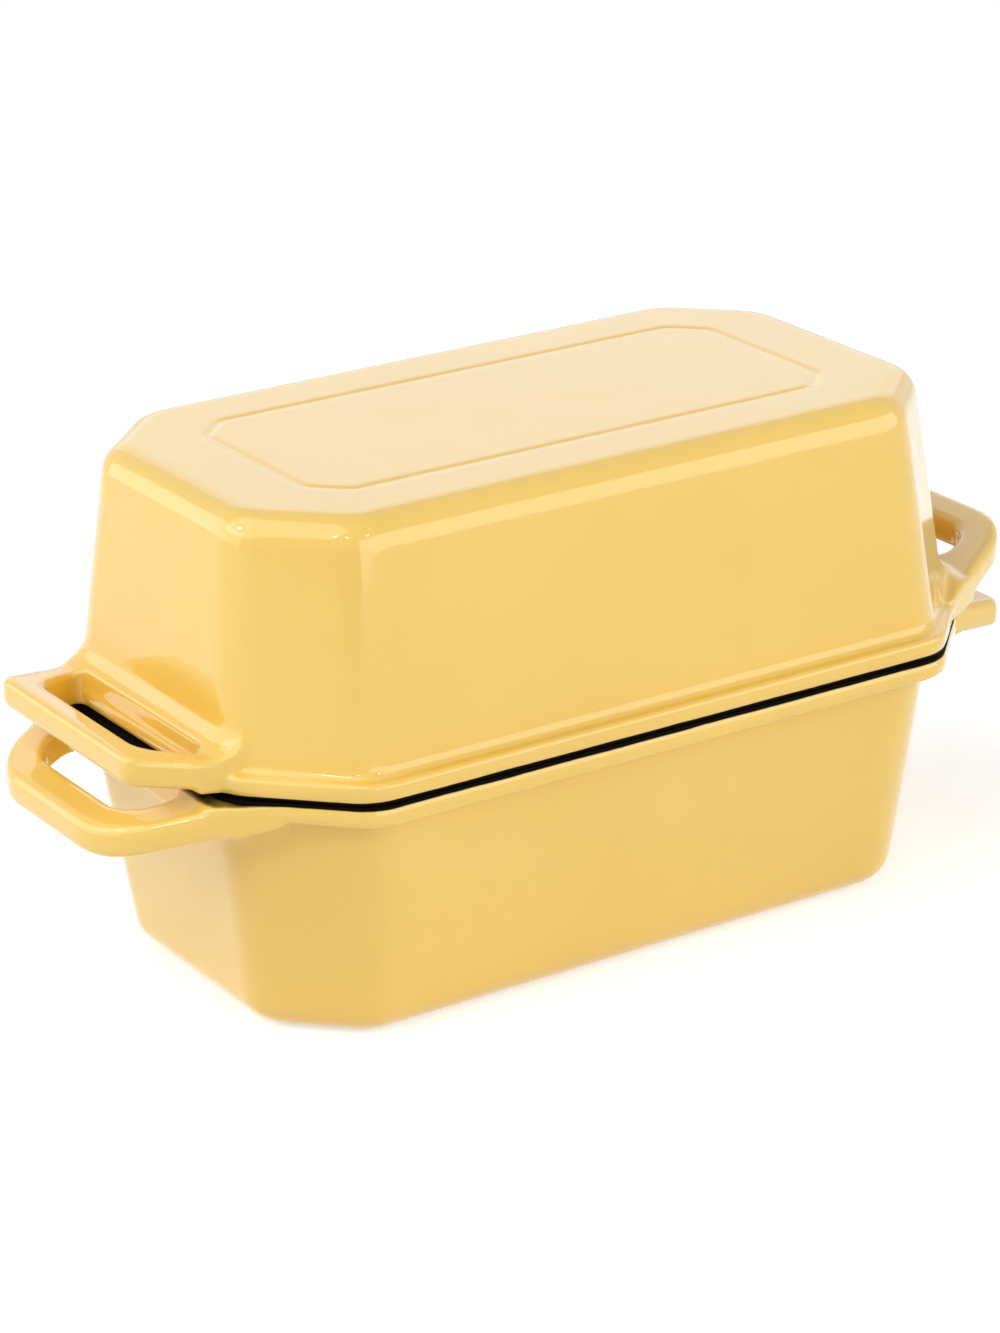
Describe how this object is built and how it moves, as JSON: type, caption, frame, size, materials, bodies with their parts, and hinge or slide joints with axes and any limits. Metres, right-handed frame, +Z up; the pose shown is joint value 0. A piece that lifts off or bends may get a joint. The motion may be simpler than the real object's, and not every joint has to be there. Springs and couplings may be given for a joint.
{
  "type": "cast iron bread pan",
  "caption": "Enamelled cast iron bread pan with a matching upper pan as its lid, tapered walls with cut corners, and a loop and a slotted tab at opposite ends.",
  "frame": {"origin": "centre of the base pan's underside", "axes": "+Z up, +X along the pan's length towards the lid's loop handle, +Y across its width"},
  "size_m": [0.311, 0.1506, 0.1515],
  "materials": {
    "base_enamel": "gloss",
    "lid_enamel": "gloss"
  },
  "bodies": {
    "root": {"base_pan": "base_enamel", "lid": "lid_enamel"}
  },
  "joints": []
}
